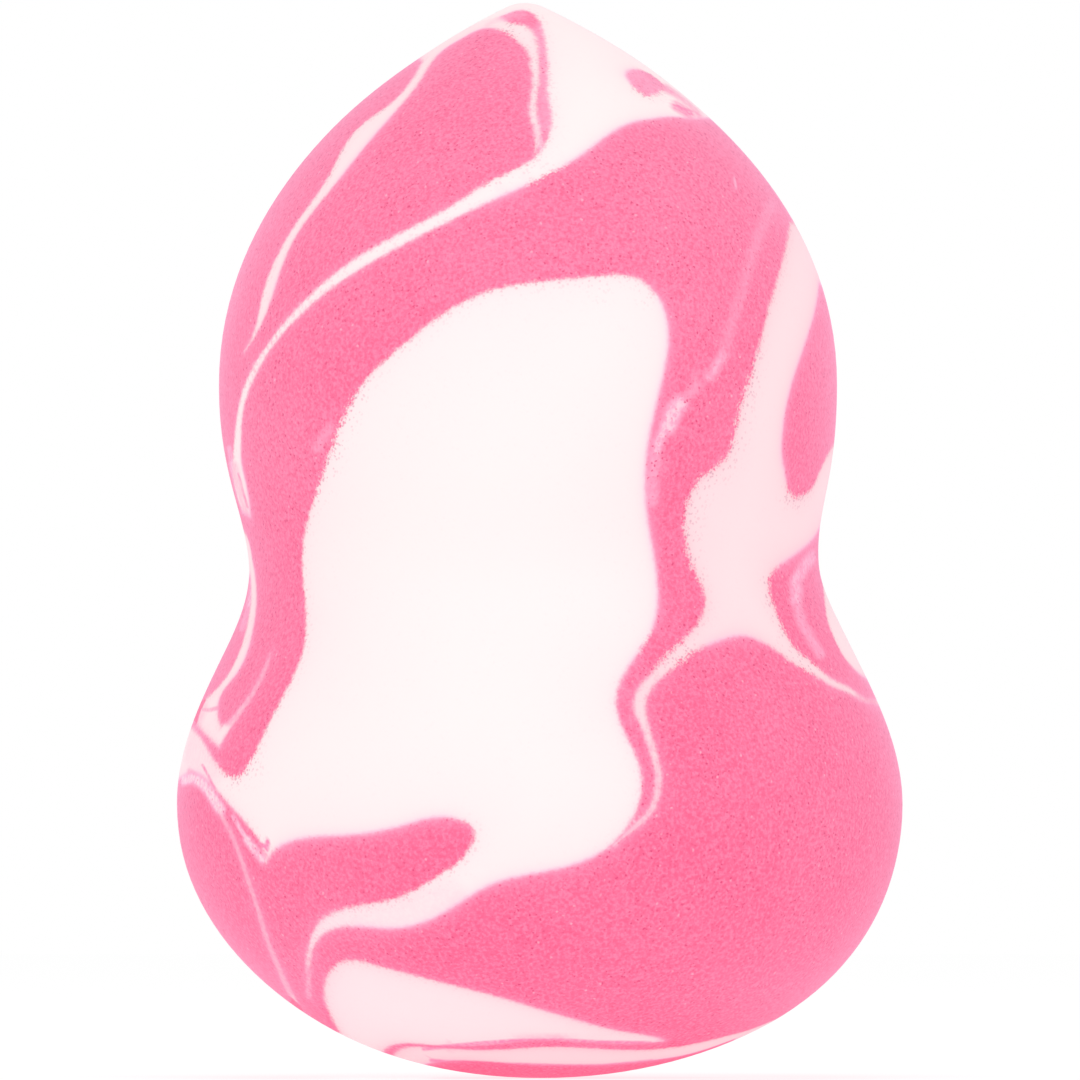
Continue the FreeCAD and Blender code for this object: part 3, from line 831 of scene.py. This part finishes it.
white = ramp(marble_group, moved, -BORDER_HALF_WIDTH_MM, BORDER_HALF_WIDTH_MM)
nearness = falling(marble_group, calc(marble_group, "ABSOLUTE", moved), FRINGE_RATE)
fringe = calc(marble_group, "MULTIPLY", nearness, soft)
pit_rate = calc(marble_group, "MULTIPLY_ADD", porous, POROUS_PIT_RATE, PIT_RATE)
pitted = falling(marble_group, calc(marble_group, "ABSOLUTE", border_mm), pit_rate)
pits = dots(marble_group, warped(marble_group, place, *UNEVEN), *PIT_DOTS)
torn_pores = calc(marble_group, "MULTIPLY", calc(marble_group, "MULTIPLY", pits, pitted),
                  calc(marble_group, "MAXIMUM", torn, porous))
for label, value in (("White", white), ("Fringe", fringe), ("Torn pores", torn_pores)):
    feed(marble_group, out.inputs[label], value)
print("group", marble_group.name)

# %% [markdown]
# Both foams get their colour from one group, so that a border looks the same from both of its pieces.
# Pink is not one colour: it is blotchy, as dye in foam is, and on top of that it is painted paler and cooler
# at the top and deeper below, as painted light from above and painted shade below. White is clear in the
# middle of a big patch and blushes pink towards its borders and in thin streams.

# %% Group: foam colour
PINK_DEEP, PINK_PALE = colour(254, 109, 150), colour(255, 138, 173)
PINK_FRINGE, PINK_SMEAR, PINK_STAIN = colour(254, 157, 191), colour(254, 176, 205), colour(250, 140, 182)
PINK_PORE, PINK_GLINT = colour(222, 66, 118), colour(255, 200, 218)
WHITE_CLEAR, WHITE_BLUSHED, WHITE_THIN = colour(255, 238, 237), colour(254, 224, 227), colour(254, 200, 209)
WHITE_FRINGE, WHITE_PORE = colour(255, 208, 228), colour(206, 150, 172)
PAINTED_LIGHT_HEIGHTS = (-2 * MM, 50 * MM, 0.05, 0.5)
CLOUD_NOISE, CLOUD_SPAN, CLOUD_START = (9 * MM, 1.5), 0.7, -0.35
DARK_MOTTLE, LIGHT_MOTTLE = (0.52, 0.32, 0.0, 0.32), (0.48, 0.68, 0.0, 0.32)
BROKEN_NOISE, BROKEN = (0.3 * MM, 2.0), (0.3, 0.62, 0.7, 1.15)
WHITE_SMEAR_FROM = 0.75
PORE_STRENGTH, GLINT_STRENGTH, TORN_PORE_STRENGTH, WHITE_PORE_STRENGTH = 0.75, 0.5, 0.75, 0.03
NEAR_BLUSH_RATE, NEAR_BLUSH = -3.5, 0.75
FAR_BLUSH_RATE, FAR_BLUSH = -0.3, 0.4
BLUSH_CLOUDS, BLUSH_LESS = 0.2, 0.15
THIN_FROM = 1.0

colour_group, place, out = new_group("foam colour", [("Color", "Color"), ("Height", "Float")])
texture = node(colour_group, "Group", node_tree=pores_group)
marbling = node(colour_group, "Group", node_tree=marble_group)
feed(colour_group, texture.inputs["Place"], place)
feed(colour_group, marbling.inputs["Place"], place)

height_m = node(colour_group, "SeparateXYZ", [("Vector", place)]).outputs["Z"]
clouds = noise(colour_group, place, *CLOUD_NOISE)
# Painted light and shade: the pink is painted paler towards the top and deeper towards the bottom, as light
# from above would make it. The clouds then add blotches of dye.
pale = ramp(colour_group, height_m, *PAINTED_LIGHT_HEIGHTS)
pale = calc(colour_group, "ADD", pale, calc(colour_group, "MULTIPLY_ADD", clouds, CLOUD_SPAN, CLOUD_START))
pink = blend(colour_group, pale, PINK_DEEP, PINK_PALE)
pink = blend(colour_group, ramp(colour_group, texture.outputs["Mottle"], *DARK_MOTTLE), pink, PINK_PORE)
pink = blend(colour_group, ramp(colour_group, texture.outputs["Mottle"], *LIGHT_MOTTLE), pink, PINK_FRINGE)
pink = blend(colour_group, marbling.outputs["Fringe"], pink, PINK_FRINGE)
broken = ramp(colour_group, noise(colour_group, place, *BROKEN_NOISE), *BROKEN)
smeared = calc(colour_group, "MULTIPLY", known(colour_group, "smear"), broken)
pink = blend(colour_group, smeared, pink, PINK_SMEAR)
pink = blend(colour_group, calc(colour_group, "SUBTRACT", smeared, WHITE_SMEAR_FROM), pink, WHITE_BLUSHED)
pink = layer(colour_group, texture.outputs["Pores"], PORE_STRENGTH, pink, PINK_PORE)
# Painted highlights: pale dots laid into the pink where cell walls would catch the light.
pink = layer(colour_group, texture.outputs["Painted glints"], GLINT_STRENGTH, pink, PINK_GLINT)

inside = calc(colour_group, "MAXIMUM", known(colour_group, "border"), 0.0)
near_blush = falling(colour_group, inside, NEAR_BLUSH_RATE)
far_blush = falling(colour_group, inside, FAR_BLUSH_RATE)
blush = calc(colour_group, "MULTIPLY_ADD", near_blush, NEAR_BLUSH, known(colour_group, "tint"))
blush = calc(colour_group, "MULTIPLY_ADD", far_blush, FAR_BLUSH, blush)
blush = calc(colour_group, "SUBTRACT", blush, BLUSH_LESS)
blush = calc(colour_group, "MULTIPLY_ADD", clouds, BLUSH_CLOUDS, blush)
whites = blend(colour_group, blush, WHITE_CLEAR, WHITE_BLUSHED)
whites = blend(colour_group, calc(colour_group, "SUBTRACT", blush, THIN_FROM), whites, WHITE_THIN)
whites = layer(colour_group, marbling.outputs["Fringe"], marbling.outputs["Fringe"], whites, WHITE_FRINGE)
whites = layer(colour_group, texture.outputs["Pores"], WHITE_PORE_STRENGTH, whites, WHITE_PORE)
whites = layer(colour_group, marbling.outputs["Torn pores"], TORN_PORE_STRENGTH, whites, WHITE_PORE)
whites = layer(colour_group, known(colour_group, "stain"), broken, whites, PINK_STAIN)

feed(colour_group, out.inputs["Color"], blend(colour_group, marbling.outputs["White"], pink, whites))
feed(colour_group, out.inputs["Height"], texture.outputs["Height"])
print("group", colour_group.name)

# %% [markdown]
# Foam has no gloss: light goes in and comes out again. Its cut cell walls stand up like a very short
# nap, which catches light at a grazing angle and makes the rim of the sponge paler. That is sheen. The
# pores are too small to model, so the Bump node makes them from the height that the group puts out.

# %% Materials: pink foam and white foam
PORE_DEPTH = 0.05 * MM
NAP_HEIGHT = 6 * MM
NAP_ROUGHNESS = 0.45
NAP_COLOUR = colour(252, 222, 255)
FOAM_ROUGHNESS = 0.95
FOAM_GLOSS = 0.15
PINK_NAP, PINK_BUMP = 0.5, 0.35
WHITE_NAP, WHITE_BUMP = 0.2, 0.12


def foam_material(name, nap, bump_strength):
    """A dry, matt foam with a pale nap, which is rubbed flat where the sponge stands."""
    material = bpy.data.materials.new(name)
    material.use_nodes = True
    tree = material.node_tree
    shader = tree.nodes["Principled BSDF"]
    place = node(tree, "TexCoord").outputs["Object"]
    looks = node(tree, "Group", node_tree=colour_group)
    feed(tree, looks.inputs["Place"], place)
    bump = node(tree, "Bump", [("Strength", bump_strength), ("Distance", PORE_DEPTH)])
    feed(tree, bump.inputs["Height"], looks.outputs["Height"])
    height_m = node(tree, "SeparateXYZ", [("Vector", place)]).outputs["Z"]
    feed(tree, shader.inputs["Base Color"], looks.outputs["Color"])
    feed(tree, shader.inputs["Normal"], bump.outputs["Normal"])
    feed(tree, shader.inputs["Roughness"], FOAM_ROUGHNESS)
    feed(tree, shader.inputs["Specular IOR Level"], FOAM_GLOSS)
    feed(tree, shader.inputs["Sheen Weight"], ramp(tree, height_m, 0.0, NAP_HEIGHT, 0.0, nap))
    feed(tree, shader.inputs["Sheen Roughness"], NAP_ROUGHNESS)
    feed(tree, shader.inputs["Sheen Tint"], NAP_COLOUR)
    return material


finishes = {
    "pink_foam": foam_material("pink foam", PINK_NAP, PINK_BUMP),
    "white_foam": foam_material("white foam", WHITE_NAP, WHITE_BUMP),
}
for name, piece in foam.items():
    slot = "pink_foam" if name in PINK_NODES else "white_foam"
    piece.data.materials.clear()
    piece.data.materials.append(finishes[slot])
    piece.data.polygons.foreach_set("material_index", [0] * len(piece.data.polygons))
    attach(piece, "root")
    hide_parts(name)
print("finishes", list(finishes))

# %% [markdown]
# The sponge stands on a plain white light table, a sheet that glows about as much as it reflects, so that
# its shadow stays pale under the lower bulb. Plain white light comes from all round, a little more from
# above. The camera sees the table and the world as pure white, which comes from their own materials, so
# that no lamp has to be so bright that the foam loses its colour.

# %% Table and world
TABLE_SIZE = 1.6
TABLE_COLOUR = colour(150, 150, 150)
TABLE_ROUGHNESS = 0.9
TABLE_GLOW, TABLE_SEEN_GLOW = 0.8, 0.75
WORLD_GLOW, WORLD_SEEN_GLOW = 0.785, 1.0
WHITE = (1, 1, 1, 1)

bpy.ops.mesh.primitive_plane_add(size=TABLE_SIZE, location=(0, 0, -STANDING_CUT))
table = bpy.context.object
table.name = "table"
table_finish = bpy.data.materials.new("white table")
table_finish.use_nodes = True
tree = table_finish.node_tree
shader = tree.nodes["Principled BSDF"]
feed(tree, shader.inputs["Base Color"], TABLE_COLOUR)
feed(tree, shader.inputs["Roughness"], TABLE_ROUGHNESS)
feed(tree, shader.inputs["Specular IOR Level"], 0.0)
feed(tree, shader.inputs["Emission Color"], WHITE)
rays = node(tree, "LightPath")
seen = calc(tree, "MAXIMUM", rays.outputs["Is Camera Ray"], rays.outputs["Is Glossy Ray"])
feed(tree, shader.inputs["Emission Strength"], ramp(tree, seen, 0.0, 1.0, TABLE_GLOW, TABLE_SEEN_GLOW))
table.data.materials.append(table_finish)

world = bpy.data.worlds.new("white studio")
bpy.context.scene.world = world
world.use_nodes = True
tree = world.node_tree
rays = node(tree, "LightPath")
seen = calc(tree, "MAXIMUM", rays.outputs["Is Camera Ray"], rays.outputs["Is Glossy Ray"])
seen = calc(tree, "MAXIMUM", seen, rays.outputs["Is Transmission Ray"])
background = tree.nodes["Background"]
feed(tree, background.inputs["Color"], WHITE)
feed(tree, background.inputs["Strength"], ramp(tree, seen, 0.0, 1.0, WORLD_GLOW, WORLD_SEEN_GLOW))
print("table", TABLE_SIZE, "m wide")

# %% [markdown]
# Soft lamps shape the bulbs a little: one on each side, a small one low in front for the lower bulb and
# one over the crown. Each is a square sheet of light, given by its place and size in metres and its power
# in watts. The view transform is Standard, so that a colour comes out as it was written.

# %% Lamps
LAMPS = (
    ("left lamp", (-0.5, -0.35, 0.12), 0.35, 0.4),
    ("right lamp", (0.5, -0.35, 0.08), 0.35, 0.42),
    ("low lamp", (0, -0.5, 0.04), 0.1, 0.1),
    ("top lamp", (0, -0.2, 0.5), 0.3, 0.5),
)


def soft_lamp(name, place, size, power):
    """A square lamp that looks at the middle of the sponge."""
    data = bpy.data.lights.new(name, "AREA")
    data.size = size
    data.energy = power
    lamp = bpy.data.objects.new(name, data)
    bpy.context.scene.collection.objects.link(lamp)
    lamp.location = place
    aim = Vector((0, 0, FREE_LENGTH / 2)) - lamp.location
    lamp.rotation_euler = aim.to_track_quat("-Z", "Y").to_euler()


for lamp_settings in LAMPS:
    soft_lamp(*lamp_settings)
bpy.context.scene.view_settings.view_transform = "Standard"
print(len(LAMPS), "lamps placed")
